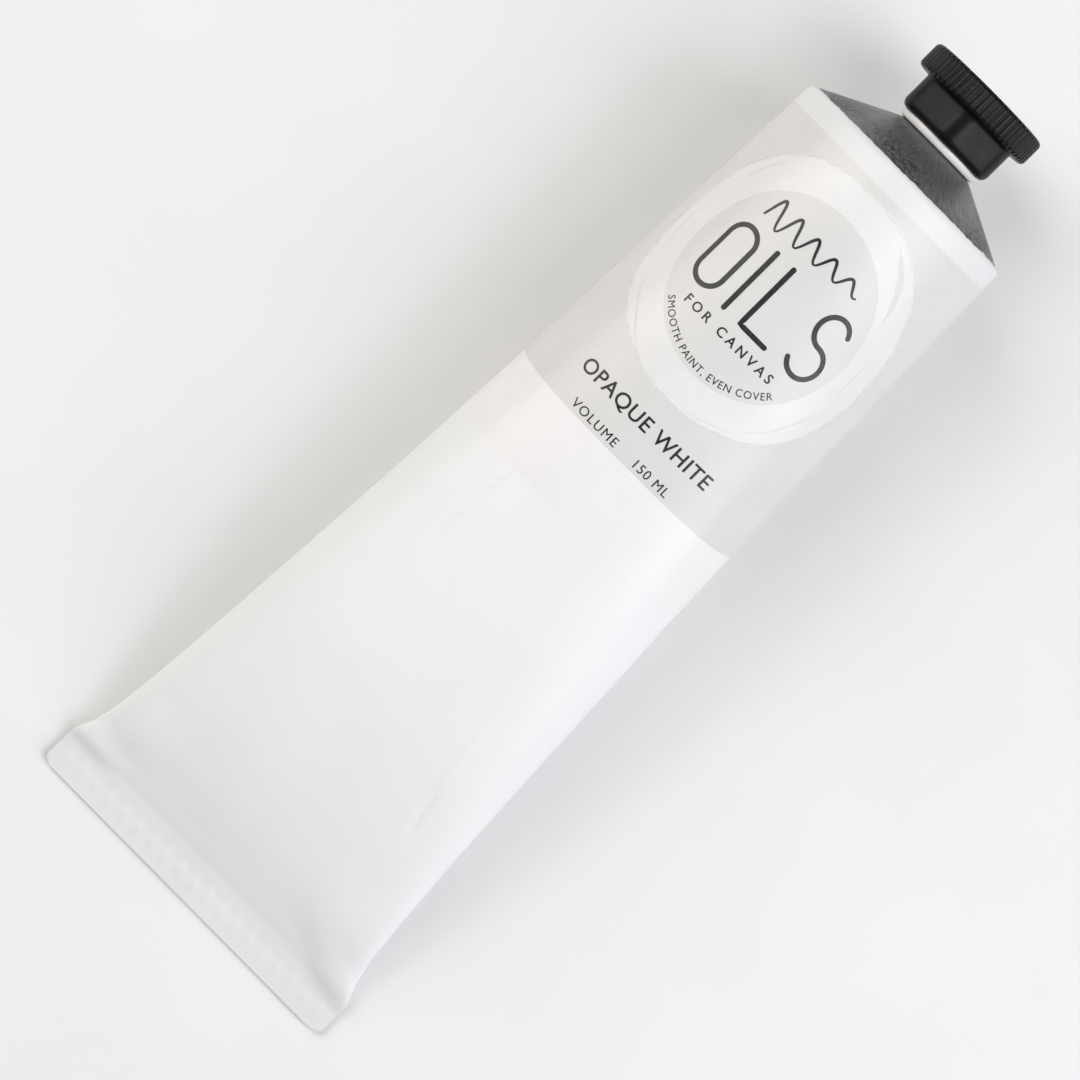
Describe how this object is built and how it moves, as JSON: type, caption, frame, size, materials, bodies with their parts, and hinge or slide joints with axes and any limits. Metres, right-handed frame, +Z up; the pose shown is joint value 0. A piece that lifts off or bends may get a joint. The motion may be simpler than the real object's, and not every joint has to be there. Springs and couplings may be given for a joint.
{
  "type": "paint tube",
  "caption": "Collapsible aluminium artists' paint tube lying down, filled, with a crimped tail, wrap label, bare conical shoulder and a knurled screw cap.",
  "frame": {"origin": "centre of the bounding box in plan, on the ground plane the tube lies on", "axes": "+X along the tube from the folded tail to the cap, +Z up from the ground"},
  "size_m": [0.1762, 0.0616, 0.04],
  "materials": {
    "white_enamel": "gloss white enamel on soft aluminium",
    "bare_aluminium": "bare, dull, finely turned",
    "white_plastic": "moulded satin",
    "black_plastic": "moulded satin black",
    "label_film": "coated, satin, printed",
    "white_paint": "soft wet paste",
    "sealant_rubber": "dull latex",
    "liner_foam": "fine closed foam"
  },
  "bodies": {
    "tube": {"tube_sleeve": "white_enamel", "shoulder_neck": "bare_aluminium", "neck_ring": "white_plastic", "end_sealant": "sealant_rubber", "wrap_label": "label_film", "paint_fill": "white_paint"},
    "liner": {"cap_liner": "liner_foam"},
    "cap": {"screw_cap": "black_plastic"}
  },
  "joints": [
    {"name": "cap_rise", "type": "slide", "parent": "tube", "child": "liner", "axis": [0.9925, 0, 0.1223], "range_m": [0, 0.0075]},
    {"name": "cap_turn", "type": "hinge", "parent": "liner", "child": "cap", "pos_m": [0.07673, 0, 0.0211], "axis": [0.9925, 0, 0.1223], "range_deg": [0, 1080]}
  ],
  "couplings": [
    {"joint": "cap_rise", "follows": "cap_turn", "m_per_rad": 0.00039789}
  ]
}
